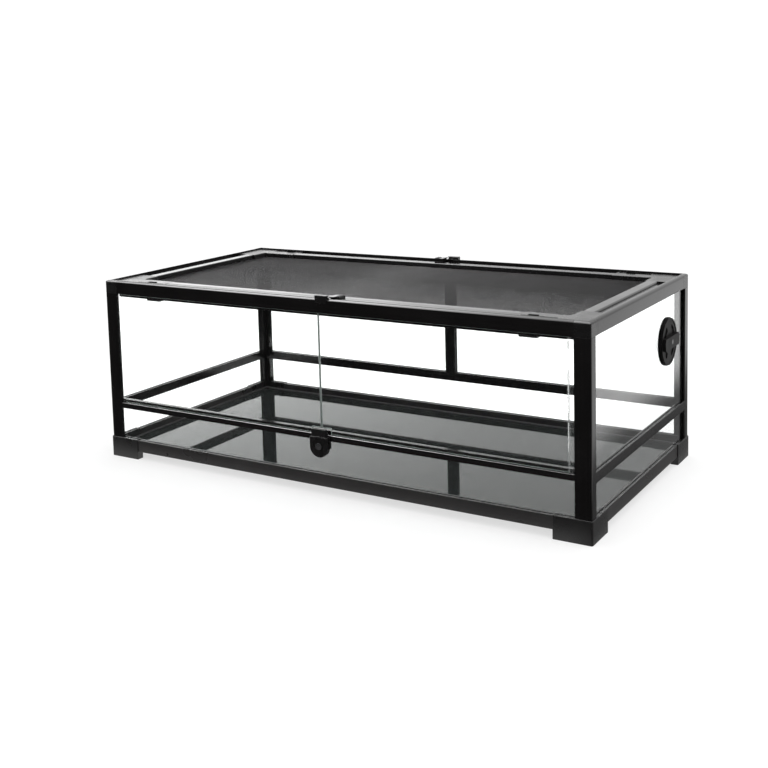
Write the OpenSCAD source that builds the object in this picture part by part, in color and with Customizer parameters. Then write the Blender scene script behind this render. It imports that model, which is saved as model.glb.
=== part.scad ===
// Front-opening glass reptile terrarium: a black knock-down frame, clear panes,
// two swing doors, a lift-off screen lid and a twist vent. Millimetres, +Z up,
// the front faces -Y, and the origin is on the ground under the middle of the frame.

/* [Overall] */
// Width over the corner feet
body_w = 914.4; // [700:10:1300]
// Depth over the corner feet
body_d = 457.2; // [380:10:620]
// Height from the ground to the top of the rim
body_h = 320; // [260:5:600]
// Height of the low front, to the door sill line
base_h = 101.6; // [80:1:140]

/* [Frame] */
// Length of each side of a corner foot
foot_side = 61; // [45:1:80]
// Height of a corner foot
foot_h = 36; // [36:1:45]
// How far the feet stand proud of the rails
foot_proud = 1.5; // [0.5:0.5:4]
// Gap under the bottom rails
rail_lift = 14; // [10:1:15]
// Height of the bottom rails
bottom_rail_h = 21; // [19:1:30]
// Height of the middle rails
mid_rail_h = 16; // [14:1:24]
// Height of the front middle rail's face, which is lower than the others
sill_face_h = 9.6; // [9:0.1:11]
// Height of the top rails
top_rail_h = 23; // [20:1:30]
// Thickness of all the rails, from outer face to inner face
rail_t = 12; // [11:0.5:18]
// Thickness of a rail's outer wall
skin_t = 4; // [3:0.5:5]
// Depth of the ledge inside the front middle rail
sill_d = 14; // [13:1:40]
// Width of a post on the front and back faces
post_face = 26; // [22:1:36]
// Width of a post on the side faces
post_side = 18; // [16:1:26]
// Width of the middle post in the back wall
centre_post_w = 21; // [18:1:30]
// Radius on the upright outer edges of the frame
edge_r = 3; // [1:0.5:3.5]

/* [Glass] */
// Thickness of the wall panes and the doors
glass_t = 4; // [3:0.5:5]
// Thickness of the floor pane
floor_t = 5; // [4:0.5:6]
// How deep a pane sits in a groove
groove_d = 5; // [3:0.5:6]
// Side gap between a pane and its groove
pane_gap = 0.3; // [0.2:0.1:0.6]

/* [Doors] */
// Radius of the rounded hinge edge
hinge_r = 3; // [2.5:0.25:3.25]
// Width of the strip that grips the glass
hinge_strip_w = 9; // [8:1:20]
// Radius of a hinge pin
hinge_pin_r = 1.5; // [1:0.25:2]
// Gap between the hinge edge and the post
hinge_gap = 1.5; // [1.5:0.25:3]
// Gap between the two doors
door_seam = 1.5; // [1:0.25:3]

/* [Lid] */
// Width of the lid's border seen from above
lid_rail_w = 37; // [34:1:46]
// Gap all round between the lid and the rim
lid_gap = 0.7; // [0.5:0.1:1.5]
// Depth that the lid sinks into the rim
lid_sink = 14; // [12:0.5:16]
// Length of a lid corner along the front and back
lid_corner_x = 110; // [100:1:180]
// Length of a lid corner along the sides
lid_corner_y = 75; // [60:1:110]
// Thickness of the screen
mesh_t = 0.8; // [0.6:0.1:1.2]
// Length of a cable inlet
inlet_l = 26; // [18:1:30]
// Width of a cable inlet
inlet_w = 8; // [6:0.5:9]

/* [Vent] */
// Radius of the hole in the pane
vent_hole_r = 33; // [27:1:45]
// Width of the flanges outside the hole
vent_lip = 7; // [5:1:12]
// Distance of the vent from the middle of the side, towards the back
vent_y = 124; // [0:1:130]
// Distance of the vent's middle below the top rails
vent_drop = 75; // [60:1:110]
// Number of air slots in the vent
vent_slots = 4; // [3:1:5]

/* [Lock] */
// Width of the lock cover
lock_w = 34; // [30:1:44]
// Depth of the lock cover in front of the rail
lock_d = 8; // [8:0.5:12]
// Travel of the lock bolt
lock_travel = 9; // [6:0.5:10]
// Sideways offset of the lid keepers from the middle
keeper_x = 7; // [-30:1:30]

/* [Hidden] */
$fn = 64;
touch = 0.01;
frame_w = body_w - 2 * foot_proud;
frame_d = body_d - 2 * foot_proud;
run_gap = 0.05;
slide_gap = 0.3;
// Panes, measured inwards from the outer face of the frame.
pane_u = skin_t + pane_gap;
pane_in = pane_u + glass_t;
flange_w = 12;
flange_t = 2.5;
floor_z = rail_lift + flange_t;
foot_shelf_t = 6.5;
pane_rise = 1.5;
pane_floor_z = floor_z + floor_t + pane_rise;
bottom_rail_top = rail_lift + bottom_rail_h;
mid_top = base_h;
mid_bottom = base_h - mid_rail_h;
top_bottom = body_h - top_rail_h;
lid_seat = body_h - lid_sink;
rim_wall = 8;
rim_crown_w = 7;
rim_fall = 4.5;
post_core = 14;
post_groove = 6;
pane_x = frame_w / 2 - post_core - pane_gap;
pane_y = frame_d / 2 - post_side + post_groove - pane_gap;
inner_x = frame_w / 2 - rail_t;
inner_y = frame_d / 2 - rail_t;
// Doors
sill_drop = 1.6;
sill_z = base_h - sill_drop;
sill_bottom = sill_z - sill_face_h;
sill_round = 1.5;
stop_u = 2 * hinge_r + 0.8;
stop_rise = 4;
stop_t = 2.4;
sill_web = 5;
stop_drop = 5.5;
door_low = sill_z + 1;
door_high = top_bottom - 0.8;
pin_x = frame_w / 2 - post_face - hinge_gap - hinge_r;
pin_u = hinge_r + 0.5;
pin_y = frame_d / 2 - pin_u;
pin_l = 3;
// Lock
lock_h = 33;
lock_top = base_h - 4.6;
lock_bottom = lock_top - lock_h;
lock_wall = 2;
lock_cap_h = 12;
lock_cap_d = lock_d - 2;
lock_cap_left = lock_w / 2 - 2;
lock_cap_right = lock_w / 2 - 5;
lock_screw_z = lock_bottom + lock_w / 2 + 1;
lock_base_t = 2;
bolt_w = 17.4;
bolt_t = 2.4;
bolt_u = lock_base_t + 0.5;
bolt_low = lock_screw_z - 8;
tab_h = 12;
tab_low = lock_screw_z - 2;
boss_r = 3;
screw_r = 1.5;
screw_head_r = 5.5;
screw_head_t = 1.6;
recess_l = 6;
recess_w = 1.4;
recess_depth = 0.9;
door_notch_x = lock_w / 2 + 1;
door_notch_z = lock_top + lock_cap_h + 1.5;
// Lid
lid_x = frame_w / 2 - rim_wall - lid_gap;
lid_y = frame_d / 2 - rim_wall - lid_gap;
lid_top = body_h - 3;
mesh_lift = 2;
mesh_z = lid_seat + mesh_lift;
mesh_edge = 7;
spline_w = 3;
lid_round = 1.5;
lid_land_w = 17;
lid_bead_r = 3.5;
lid_land_z = lid_top - lid_bead_r;
corner_lap = 3;
corner_fillet = 9;
gate_plate_t = 2.4;
gate_margin = 2;
gate_lap = 0.5;
gate_travel = inlet_l + 1;
gate_rib_w = 1.6;
gate_rib_pitch = 3.2;
rib_rise = 2.5;
channel_end = 2.7;
collar_wall = 1.4;
collar_gap = 2.4;
collar_drop = 19;
// Lid lock
keeper_w = 22;
keeper_rise = 5;
keeper_skirt = 7;
slider_l = 18;
slider_travel = 9;
slider_w = 15.5;
slider_end = 3;
slider_rib_w = 1.2;
slider_rib_h = 0.8;
slider_rib_pitch = 2.6;
tongue_low = 1.3;
tongue_t = 2;
tongue_reach = 2.6;
// Vent
vent_r = vent_hole_r + vent_lip;
vent_z = top_bottom - vent_drop;
vent_plate_t = 1.8;
vent_clamp_t = 2;
sleeve_wall = 3;
shutter_t = 1.5;
shutter_rim_w = 3;
shutter_rim_h = 0.8;
pivot_head_t = 1.2;
vent_pivot_r = 4;
slot_in_r = vent_hole_r * 0.6;
slot_out_r = vent_hole_r * 0.88;
slot_angle = 360 / vent_slots * 0.46;
// The grip lies at 90 degrees, over the middle of a gap between two slots.
slot_start = 90 - slot_angle / 2 - 180 / vent_slots;
grip_w = 20;
grip_h = 6;

// ---- Helpers -------------------------------------------------------------

// A block from one corner to the opposite one.
module block(low, high) {
    translate(low) cube(high - low);
}

// Extrudes a (distance inwards, height) profile along the front wall, from x0 to x1.
module along_front(x0, x1) {
    translate([x0, -frame_d / 2, 0]) rotate([90, 0, 90]) linear_extrude(x1 - x0) children();
}

// The same profile along the left wall, from y0 to y1.
module along_left(y0, y1) {
    translate([-frame_w / 2, y1, 0]) rotate([90, 0, 0]) linear_extrude(y1 - y0) children();
}

module to_back() { mirror([0, 1, 0]) children(); }
module to_right() { mirror([1, 0, 0]) children(); }

// A rectangle in a profile: from (u0, z0) to (u1, z1).
module area(u0, z0, u1, z1) {
    translate([u0, z0]) square([u1 - u0, z1 - z0]);
}

// In a profile, what rounding the outer top edge at height z takes away.
module corner_round(z, r) {
    difference() {
        area(-1, z - r, r, z + 1);
        translate([r, z - r]) circle(r = r);
    }
}

// Takes the upright outer edge off a front left corner piece, at (x, y).
module edge_cutter(x, y, r, z0, z1) {
    difference() {
        block([x - 1, y - 1, z0 - 1], [x + r, y + r, z1 + 1]);
        translate([x + r, y + r, z0 - 2]) cylinder(r = r, h = z1 - z0 + 4);
    }
}

// ---- Corner feet and bottom rails ---------------------------------------

// Front left foot: an L of walls round the rails' ends, and a shelf under the floor pane.
module foot() {
    color("#232325") difference() {
        block([-body_w / 2, -body_d / 2, 0], [-body_w / 2 + foot_side, -body_d / 2 + foot_side, foot_h]);
        edge_cutter(-body_w / 2, -body_d / 2, edge_r, 0, foot_h);
        block([-inner_x, -inner_y, floor_z], [0, 0, foot_h + 1]);
        block([-inner_x, -inner_y, -1], [0, 0, floor_z - foot_shelf_t]);
        foot_pane_slots();
    }
}

// The slots in a foot that take the ends of the lower panes.
module foot_pane_slots() {
    block([-pane_x - pane_gap, -frame_d / 2 + skin_t, pane_floor_z - pane_gap],
          [0, -frame_d / 2 + pane_in + pane_gap, foot_h + 1]);
    block([-frame_w / 2 + skin_t, -pane_y - pane_gap, pane_floor_z - pane_gap],
          [-frame_w / 2 + pane_in + pane_gap, 0, foot_h + 1]);
}

module bottom_rail_profile() {
    difference() {
        union() {
            area(0, rail_lift, rail_t, bottom_rail_top);
            area(0, rail_lift, rail_t + flange_w, floor_z);
        }
        area(skin_t, pane_floor_z - pane_gap, pane_in + pane_gap, bottom_rail_top + 1);
    }
}

module bottom_rail_front() {
    reach = body_w / 2 - foot_side;
    color("#2b2b2d") along_front(-reach, reach) bottom_rail_profile();
}

module bottom_rail_left() {
    reach = body_d / 2 - foot_side;
    color("#2b2b2d") along_left(-reach, reach) bottom_rail_profile();
}

module floor_glass() {
    x = inner_x - pane_gap;
    y = inner_y - pane_gap;
    color("#b9c4c4", 0.6) block([-x, -y, floor_z], [x, y, floor_z + floor_t]);
}

// The silicone bead in the corner between the floor pane and the rails.
module floor_seal() {
    bead = 3;
    z = floor_z + floor_t;
    color("#141414") difference() {
        block([-inner_x, -inner_y, z], [inner_x, inner_y, z + bead]);
        block([-inner_x + bead, -inner_y + bead, z - 1], [inner_x - bead, inner_y - bead, z + bead + 1]);
    }
}

// ---- Posts ---------------------------------------------------------------

// Front left post: a wide face, and a core with the groove for the side panes.
module post() {
    x = -frame_w / 2;
    y = -frame_d / 2;
    color("#2b2b2d") difference() {
        union() {
            block([x, y, foot_h], [x + post_face, y + skin_t, top_bottom]);
            block([x, y, foot_h], [x + post_core, y + post_side, top_bottom]);
        }
        block([x + skin_t, y + post_side - post_groove, foot_h - 1],
              [x + pane_in + pane_gap, y + post_side + 1, top_bottom + 1]);
        edge_cutter(x, y, edge_r, foot_h, top_bottom);
    }
}

// The middle post of the back wall, drawn at the front and mirrored to the back.
module centre_post() {
    half = centre_post_w / 2;
    color("#2b2b2d") to_back() difference() {
        along_front(-half, half) area(0, mid_top, rail_t, top_bottom);
        for (side = [-1, 1])
            translate([side * half, 0, 0])
                block([-groove_d, -frame_d / 2 + skin_t, mid_top - 1],
                      [groove_d, -frame_d / 2 + pane_in + pane_gap, top_bottom + 1]);
    }
}

// ---- Middle rails --------------------------------------------------------

module pane_groove_area(z0, z1) {
    area(skin_t, z0, pane_in + pane_gap, z1);
}

module mid_rail_profile() {
    difference() {
        area(0, mid_bottom, rail_t, mid_top);
        pane_groove_area(mid_bottom - 1, mid_bottom + groove_d);
        pane_groove_area(mid_top - groove_d, mid_top + 1);
    }
}

// The part of a profile that reaches in behind the post's face.
module behind_post_face() {
    intersection() {
        children();
        area(skin_t + slide_gap, 0, frame_d, body_h);
    }
}

module mid_rail_back() {
    face = frame_w / 2 - post_face;
    tongue = frame_w / 2 - post_core;
    color("#2b2b2d") to_back() {
        along_front(-face, face) mid_rail_profile();
        for (side = [0, 1]) mirror([side, 0, 0])
            along_front(face - touch, tongue) behind_post_face() mid_rail_profile();
    }
}

module mid_rail_left() {
    reach = frame_d / 2 - post_side;
    color("#2b2b2d") along_left(-reach, reach) mid_rail_profile();
}

// The door sill: a low front edge, a stop that the doors close on, and a ledge behind it.
module sill_profile() {
    difference() {
        union() {
            area(0, sill_bottom, rail_t, sill_z);
            area(stop_u, sill_z - sill_web, sill_d, mid_top + stop_rise);
        }
        corner_round(sill_z, sill_round);
        pane_groove_area(sill_bottom - 1, sill_bottom + groove_d);
    }
}

module mid_rail_front() {
    face = frame_w / 2 - post_face;
    tongue = frame_w / 2 - post_core;
    color("#2b2b2d") difference() {
        union() {
            along_front(-face, face) sill_profile();
            for (side = [0, 1]) mirror([side, 0, 0])
                along_front(face - touch, tongue) behind_post_face() sill_profile();
        }
        hinge_bores(sill_z - pin_l - 1, sill_z + 1);
    }
}

// The two bores for the doors' pins.
module hinge_bores(z0, z1) {
    for (side = [-1, 1])
        translate([side * pin_x, -pin_y, z0]) cylinder(r = hinge_pin_r + run_gap, h = z1 - z0);
}

// ---- Panes ---------------------------------------------------------------

// A pane in the front wall's plane, from x0 to x1 and z0 to z1.
module front_pane(x0, x1, z0, z1) {
    block([x0, -frame_d / 2 + pane_u, z0], [x1, -frame_d / 2 + pane_in, z1]);
}

module side_pane(z0, z1) {
    block([-frame_w / 2 + pane_u, -pane_y, z0], [-frame_w / 2 + pane_in, pane_y, z1]);
}

lower_pane_top = mid_bottom + groove_d - pane_gap;
upper_pane_low = mid_top - groove_d + pane_gap;
upper_pane_top = top_bottom + groove_d - pane_gap;

module lower_glass_front() {
    top = sill_bottom + groove_d - pane_gap;
    color("#dfe8e8", 0.25) front_pane(-pane_x, pane_x, pane_floor_z, top);
}

module lower_glass_back() {
    color("#dfe8e8", 0.25) to_back() front_pane(-pane_x, pane_x, pane_floor_z, lower_pane_top);
}

module lower_glass_left() {
    color("#dfe8e8", 0.25) side_pane(pane_floor_z, lower_pane_top);
}

module upper_glass_left() {
    color("#dfe8e8", 0.25) side_pane(upper_pane_low, upper_pane_top);
}

module upper_glass_right() {
    color("#dfe8e8", 0.25) difference() {
        to_right() side_pane(upper_pane_low, upper_pane_top);
        vent_place() translate([0, 0, -20]) cylinder(r = vent_hole_r, h = 40);
    }
}

module upper_glass_back_left() {
    inner = centre_post_w / 2 - groove_d + pane_gap;
    color("#dfe8e8", 0.25) to_back() front_pane(-pane_x, -inner, upper_pane_low, upper_pane_top);
}

// ---- Top rim -------------------------------------------------------------

// A wall section whose top falls away outwards in a flat curve.
module rim_wall_area(width) {
    steps = 8;
    difference() {
        area(0, top_bottom, width, body_h);
        polygon(concat([[-1, body_h - rim_fall], [-1, body_h + 1], [rim_crown_w, body_h + 1]],
            [for (i = [0 : steps]) let (a = 90 + 90 * i / steps)
                [rim_crown_w * (1 + cos(a)), body_h - rim_fall * (1 - sin(a))]]));
    }
}

module top_rail_profile() {
    difference() {
        union() {
            rim_wall_area(rim_wall);
            area(0, top_bottom, rail_t, lid_seat);
        }
        pane_groove_area(top_bottom - 1, top_bottom + groove_d);
    }
}

// The front rim has no pane groove, and a lip that the doors close on.
module top_rail_front_profile() {
    rim_wall_area(rim_wall);
    area(0, top_bottom, rail_t, lid_seat);
    area(stop_u, top_bottom - stop_drop, stop_u + stop_t, top_bottom + touch);
}

module top_rail_front() {
    reach = frame_w / 2 - post_face;
    color("#2b2b2d") difference() {
        along_front(-reach, reach) top_rail_front_profile();
        hinge_bores(top_bottom - 1, top_bottom + pin_l + 1);
    }
}

module top_rail_back() {
    reach = frame_w / 2 - post_face;
    color("#2b2b2d") to_back() along_front(-reach, reach) top_rail_profile();
}

module top_rail_left() {
    reach = frame_d / 2 - post_face;
    color("#2b2b2d") along_left(-reach, reach) top_rail_profile();
}

// Front left joiner: both rims' sections meet, over the post, with a seat for the lid.
module top_corner_joiner() {
    x = -frame_w / 2;
    y = -frame_d / 2;
    difference() {
        intersection() {
            along_front(x, x + post_face) rim_wall_area(post_face);
            along_left(y, y + post_face) rim_wall_area(post_face);
        }
        block([x + rim_wall, y + rim_wall, lid_seat], [0, 0, body_h + 1]);
        edge_cutter(x, y, edge_r, top_bottom, body_h);
        block([x + rail_t, y + rail_t, top_bottom - 1], [0, 0, body_h]);
        block([x + skin_t, y + post_side - post_groove, top_bottom - 1],
              [x + pane_in + pane_gap, 0, top_bottom + groove_d]);
        corner_pane_slot();
    }
}

// The back panes run on into the joiners; the front has doors, and needs no slot.
module corner_pane_slot() {
    block([-pane_x - pane_gap, -frame_d / 2 + skin_t, top_bottom - 1],
          [0, -frame_d / 2 + pane_in + pane_gap, top_bottom + groove_d]);
}

module top_corner_joiners() {
    color("#262628") for (mx = [0, 1], my = [0, 1])
        mirror([mx, 0, 0]) mirror([0, my, 0]) top_corner_joiner();
}

// ---- Doors ---------------------------------------------------------------

// The left door's pane, with its lower free corner cut away round the lock.
module door_glass() {
    edge = -pin_x + hinge_r + slide_gap;
    y = -pin_y - glass_t / 2;
    color("#dfe8e8", 0.25) difference() {
        block([edge, y, door_low], [-door_seam / 2, y + glass_t, door_high]);
        block([-door_notch_x, y - 1, door_low - 1], [0, y + glass_t + 1, door_notch_z]);
    }
}

// The strip that grips the pane's hinge edge, with a pin at each end.
module door_hinge_strip() {
    color("#19191a") translate([-pin_x, -pin_y, 0]) {
        difference() {
            union() {
                translate([0, 0, door_low]) cylinder(r = hinge_r, h = door_high - door_low);
                block([0, -hinge_r, door_low], [hinge_strip_w - hinge_r, hinge_r, door_high]);
            }
            block([hinge_r + slide_gap - touch, -glass_t / 2, door_low - 1],
                  [hinge_strip_w, glass_t / 2, door_high + 1]);
        }
        translate([0, 0, door_low - pin_l]) cylinder(r = hinge_pin_r, h = pin_l + 1);
        translate([0, 0, door_high - 1]) cylinder(r = hinge_pin_r, h = pin_l + 1);
    }
}

// ---- Lock ----------------------------------------------------------------

// Extrudes an (x, z) outline forwards from the rail's face: u0 to u1 in front of it.
module in_front(u0, u1) {
    translate([0, -frame_d / 2 - u0, 0]) rotate([90, 0, 0]) linear_extrude(u1 - u0) children();
}

// A bore along the depth, at the screw.
module lock_screw_bore(r) {
    translate([0, -frame_d / 2 + 1, lock_screw_z]) rotate([90, 0, 0]) cylinder(r = r, h = lock_d + 4);
}

module lock_outline(inset) {
    r = lock_w / 2 - inset;
    centre_z = lock_bottom + lock_w / 2;
    translate([0, centre_z]) circle(r = r);
    translate([-r, centre_z]) square([2 * r, lock_top - inset - centre_z]);
}

module lock_base() {
    color("#1c1c1e") difference() {
        union() {
            in_front(0, lock_base_t) intersection() {
                lock_outline(lock_wall + slide_gap);
                translate([-lock_w / 2, lock_bottom + 6]) square([lock_w, lock_h]);
            }
            in_front(0, lock_d - lock_wall) translate([0, lock_screw_z]) circle(r = boss_r);
        }
        lock_screw_bore(screw_r);
    }
}

// The room for the bolt and its thumb tab over their travel.
module bolt_channel() {
    g = slide_gap;
    in_front(bolt_u - g, bolt_u + bolt_t + g) {
        translate([-bolt_w / 2 - g, bolt_low - g])
            square([bolt_w + 2 * g, lock_top + lock_cap_h - bolt_low + 1]);
        translate([0, tab_low - g])
            square([lock_w, tab_h + lock_travel + 2 * g]);
    }
}

module lock_cover() {
    color("#2a2a2c") difference() {
        union() {
            in_front(0, lock_d) lock_outline(0);
            in_front(0, lock_cap_d) translate([-lock_cap_left, lock_top - touch])
                square([lock_cap_left + lock_cap_right, lock_cap_h + touch]);
        }
        in_front(-touch, lock_d - lock_wall) lock_outline(lock_wall);
        bolt_channel();
        lock_screw_bore(screw_r + run_gap);
    }
}

module lock_bolt() {
    color("#1c1c1e") in_front(bolt_u, bolt_u + bolt_t) difference() {
        union() {
            translate([-bolt_w / 2, bolt_low])
                square([bolt_w, lock_top + lock_cap_h - 0.5 - bolt_low]);
            translate([0, tab_low]) square([lock_w / 2 + 4, tab_h]);
        }
        translate([-boss_r - slide_gap, bolt_low - 1])
            square([2 * (boss_r + slide_gap), lock_screw_z - bolt_low + boss_r + slide_gap + 1]);
    }
}

module lock_screw() {
    u = lock_d;
    color("#3a3a3c") difference() {
        union() {
            in_front(u, u + screw_head_t) translate([0, lock_screw_z]) circle(r = screw_head_r);
            in_front(0.5, u + 0.5) translate([0, lock_screw_z]) circle(r = screw_r);
        }
        in_front(u + screw_head_t - recess_depth, u + screw_head_t + 1) translate([0, lock_screw_z]) {
            square([recess_l, recess_w], center = true);
            square([recess_w, recess_l], center = true);
        }
    }
}

// ---- Lid -----------------------------------------------------------------

// The lid border's section, from its outer edge inwards: a flat land, and a bead inside it.
module lid_profile() {
    bead = lid_land_w + lid_bead_r;
    difference() {
        union() {
            area(0, lid_seat, bead, lid_land_z);
            area(bead - touch, lid_seat, lid_rail_w, lid_top);
            intersection() {
                translate([bead, lid_top - lid_bead_r]) circle(r = lid_bead_r);
                area(0, lid_seat, bead, lid_top);
            }
        }
        inner_edge_round(lid_rail_w, lid_top);
        mesh_step(lid_rail_w);
    }
}

// The corners are flat, and a little wider than the rails.
module corner_profile() {
    difference() {
        area(0, lid_seat, lid_rail_w + corner_lap, lid_top);
        edge_round(lid_top);
        inner_edge_round(lid_rail_w + corner_lap, lid_top);
        mesh_step(lid_rail_w + corner_lap);
    }
}

module edge_round(z) { corner_round(z, lid_round); }

module inner_edge_round(u, z) {
    translate([u, 0]) mirror([1, 0]) edge_round(z);
}

// The step that the screen lies in, under a border that ends at u.
module mesh_step(u) {
    area(lid_rail_w - mesh_edge, lid_seat - 1, u + 1, mesh_z + mesh_t);
}

module lid_along_front(x0, x1) {
    translate([0, frame_d / 2 - lid_y, 0]) along_front(x0, x1) children();
}

module lid_along_left(y0, y1) {
    translate([frame_w / 2 - lid_x, 0, 0]) along_left(y0, y1) children();
}

module lid_rail_front() {
    reach = lid_x - lid_corner_x;
    color("#2f2f31") difference() {
        lid_along_front(-reach, reach) lid_profile();
        slider_slot();
    }
}

module lid_rail_left() {
    reach = lid_y - lid_corner_y;
    color("#2f2f31") lid_along_left(-reach, reach) lid_profile();
}

// The inlet is at the arm's free end, so the gate slides towards the corner.
inlet_inset = inlet_l / 2 + gate_margin + slide_gap + channel_end;
inlet_x = lid_x - lid_corner_x + inlet_inset;
inlet_y = inner_y - collar_gap - collar_wall - inlet_w / 2;

// A front left lid corner: two arms, a cable inlet with its collar, and the gate's channel.
module lid_corner() {
    arm_x = -lid_x + lid_corner_x;
    arm_y = -lid_y + lid_corner_y;
    difference() {
        union() {
            difference() {
                union() {
                    lid_along_front(-lid_x, arm_x) corner_profile();
                    lid_along_left(-lid_y, arm_y) corner_profile();
                    lid_corner_fillet();
                }
                lid_corner_mesh_room();
            }
            inlet_collar();
        }
        inlet_hole(lid_seat - collar_drop - 1, body_h + 1);
        gate_channel();
    }
}

// The curve that fills the inside of the L where the arms meet.
module lid_corner_fillet() {
    x = -lid_x + lid_rail_w + corner_lap - lid_round;
    y = -lid_y + lid_rail_w + corner_lap - lid_round;
    r = corner_fillet;
    difference() {
        block([x, y, mesh_z + mesh_t], [x + r, y + r, lid_top]);
        translate([x + r, y + r, lid_seat]) cylinder(r = r, h = body_h);
    }
}

// Where the arms cross, the step that the mesh lies in turns the corner.
module lid_corner_mesh_room() {
    block([-lid_x + lid_rail_w - mesh_edge, -lid_y + lid_rail_w - mesh_edge, lid_seat - 1],
          [0, 0, mesh_z + mesh_t]);
}

module inlet_hole(z0, z1) {
    block([-inlet_x - inlet_l / 2, -inlet_y - inlet_w / 2, z0],
          [-inlet_x + inlet_l / 2, -inlet_y + inlet_w / 2, z1]);
}

// The chute under the inlet that leads a cable down past the rim.
module inlet_collar() {
    c = collar_wall;
    block([-inlet_x - inlet_l / 2 - c, -inlet_y - inlet_w / 2 - c, lid_seat - collar_drop],
          [-inlet_x + inlet_l / 2 + c, -inlet_y + inlet_w / 2 + c, lid_top - lid_round]);
}

// The shallow channel on top, in which the gate slides towards the corner.
module gate_channel() {
    g = slide_gap;
    x0 = -inlet_x - inlet_l / 2 - gate_margin - g - gate_travel;
    x1 = -inlet_x + inlet_l / 2 + gate_margin + g;
    block([x0, -inlet_y - inlet_w / 2 - gate_margin - g, lid_top - gate_plate_t],
          [x1, -inlet_y + inlet_w / 2 + gate_lap + g, body_h + 1]);
}

module lid_corners_front() {
    color("#2a2a2c") for (mx = [0, 1]) mirror([mx, 0, 0]) lid_corner();
}

// Front left gate: a plate over the inlet, with a ribbed thumb rest.
module inlet_gate() {
    x0 = -inlet_x - inlet_l / 2 - gate_margin;
    x1 = -inlet_x + inlet_l / 2 + gate_margin;
    y0 = -inlet_y - inlet_w / 2 - gate_margin;
    y1 = -inlet_y + inlet_w / 2 + gate_lap;
    z = lid_top - gate_plate_t;
    color("#1f1f21") {
        block([x0, y0, z], [x1, y1, lid_top]);
        for (rib = [0 : 4]) let (x = x0 + gate_rib_w + rib * gate_rib_pitch)
            block([x, y0 + 1, lid_top - touch], [x + gate_rib_w, y1 - 1, lid_top + rib_rise]);
    }
}

module lid_mesh() {
    x = lid_x - lid_rail_w + mesh_edge - slide_gap;
    y = lid_y - lid_rail_w + mesh_edge - slide_gap;
    color("#3a3a3c", 0.7) block([-x, -y, mesh_z], [x, y, mesh_z + mesh_t]);
}

// The strip that holds the mesh up in the lid's step.
module lid_spline() {
    x = lid_x - lid_rail_w + mesh_edge - run_gap;
    y = lid_y - lid_rail_w + mesh_edge - run_gap;
    color("#101011") difference() {
        block([-x, -y, lid_seat + slide_gap], [x, y, mesh_z]);
        block([-x + spline_w, -y + spline_w, lid_seat - 1], [x - spline_w, y - spline_w, mesh_z + 1]);
    }
}

// ---- Lid lock ------------------------------------------------------------

slider_x0 = keeper_x + keeper_w / 2 + 1.5;
slider_u0 = rim_wall + lid_gap + 1;
slider_u1 = slider_u0 + slider_w;
slot_w = 4;
slot_u0 = slider_u0 + 4;
slot_u1 = slot_u0 + slot_w;
slot_depth = 3;

// Drawn on the front rim; the back one is the same piece turned round.
module keeper() {
    x0 = keeper_x - keeper_w / 2;
    x1 = keeper_x + keeper_w / 2;
    color("#2a2a2c") difference() {
        along_front(x0, x1) difference() {
            area(-1, body_h - keeper_skirt, rim_wall, body_h + keeper_rise);
            rim_wall_area(rim_wall + 1);
        }
        translate([0, -frame_d / 2, 0])
            block([x1 - slider_travel - 2, rim_wall - tongue_reach - slide_gap,
                   body_h + tongue_low - slide_gap],
                  [x1 + 1, rim_wall + 1, body_h + tongue_low + tongue_t + slide_gap]);
    }
}

// The slider on the lid: a ribbed body, a tongue over the rim and a foot in the lid's slot.
module lid_slider() {
    z = lid_land_z;
    top = body_h + tongue_low + tongue_t;
    color("#1f1f21") translate([0, -frame_d / 2, 0]) {
        block([slider_x0, slider_u0, z], [slider_x0 + slider_l, slider_u1, top]);
        block([slider_x0, rim_wall - tongue_reach, body_h + tongue_low],
              [slider_x0 + slider_travel, slider_u0 + 1, top]);
        block([slider_x0 + slider_end, slot_u0 + slide_gap, z - slot_depth + slide_gap],
              [slider_x0 + slider_l - slider_end, slot_u1 - slide_gap, z + touch]);
        for (rib = [1 : 3]) let (x = slider_x0 + slider_l - rib * slider_rib_pitch)
            block([x, slider_u0 + 1, top - touch],
                  [x + slider_rib_w, slider_u1 - 1, top + slider_rib_h]);
    }
}

module slider_slot() {
    translate([0, -frame_d / 2, 0])
        block([slider_x0 + slider_end - slider_travel - slide_gap, slot_u0, lid_land_z - slot_depth],
              [slider_x0 + slider_l - slider_end + slide_gap, slot_u1, lid_top + 1]);
}

// Turns a front piece round to the back rim, about the keepers' own place.
module turned_to_back() {
    translate([keeper_x, 0, 0]) rotate([0, 0, 180]) translate([-keeper_x, 0, 0]) children();
}

module lid_rail_back() {
    reach = lid_x - lid_corner_x;
    color("#2f2f31") difference() {
        to_back() lid_along_front(-reach, reach) lid_profile();
        turned_to_back() slider_slot();
    }
}

// ---- Vent ----------------------------------------------------------------

// Places a piece drawn on +Z at the vent, with z = 0 on the pane's outer face.
module vent_place() {
    translate([frame_w / 2 - pane_u, vent_y, vent_z]) rotate([0, 90, 0]) children();
}

// One slot of the vent: a stretch of a ring, from a0 to a1 degrees.
module ring_slot(r0, r1, a0, a1) {
    steps = 6;
    reach = r1 * 1.3;
    intersection() {
        difference() {
            circle(r = r1);
            circle(r = r0);
        }
        polygon(concat([[0, 0]],
            [for (i = [0 : steps]) let (a = a0 + (a1 - a0) * i / steps) reach * [cos(a), sin(a)]]));
    }
}

module vent_slot_pattern(start) {
    for (i = [0 : vent_slots - 1])
        ring_slot(slot_in_r, slot_out_r,
                  start + i * 360 / vent_slots, start + i * 360 / vent_slots + slot_angle);
}

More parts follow.
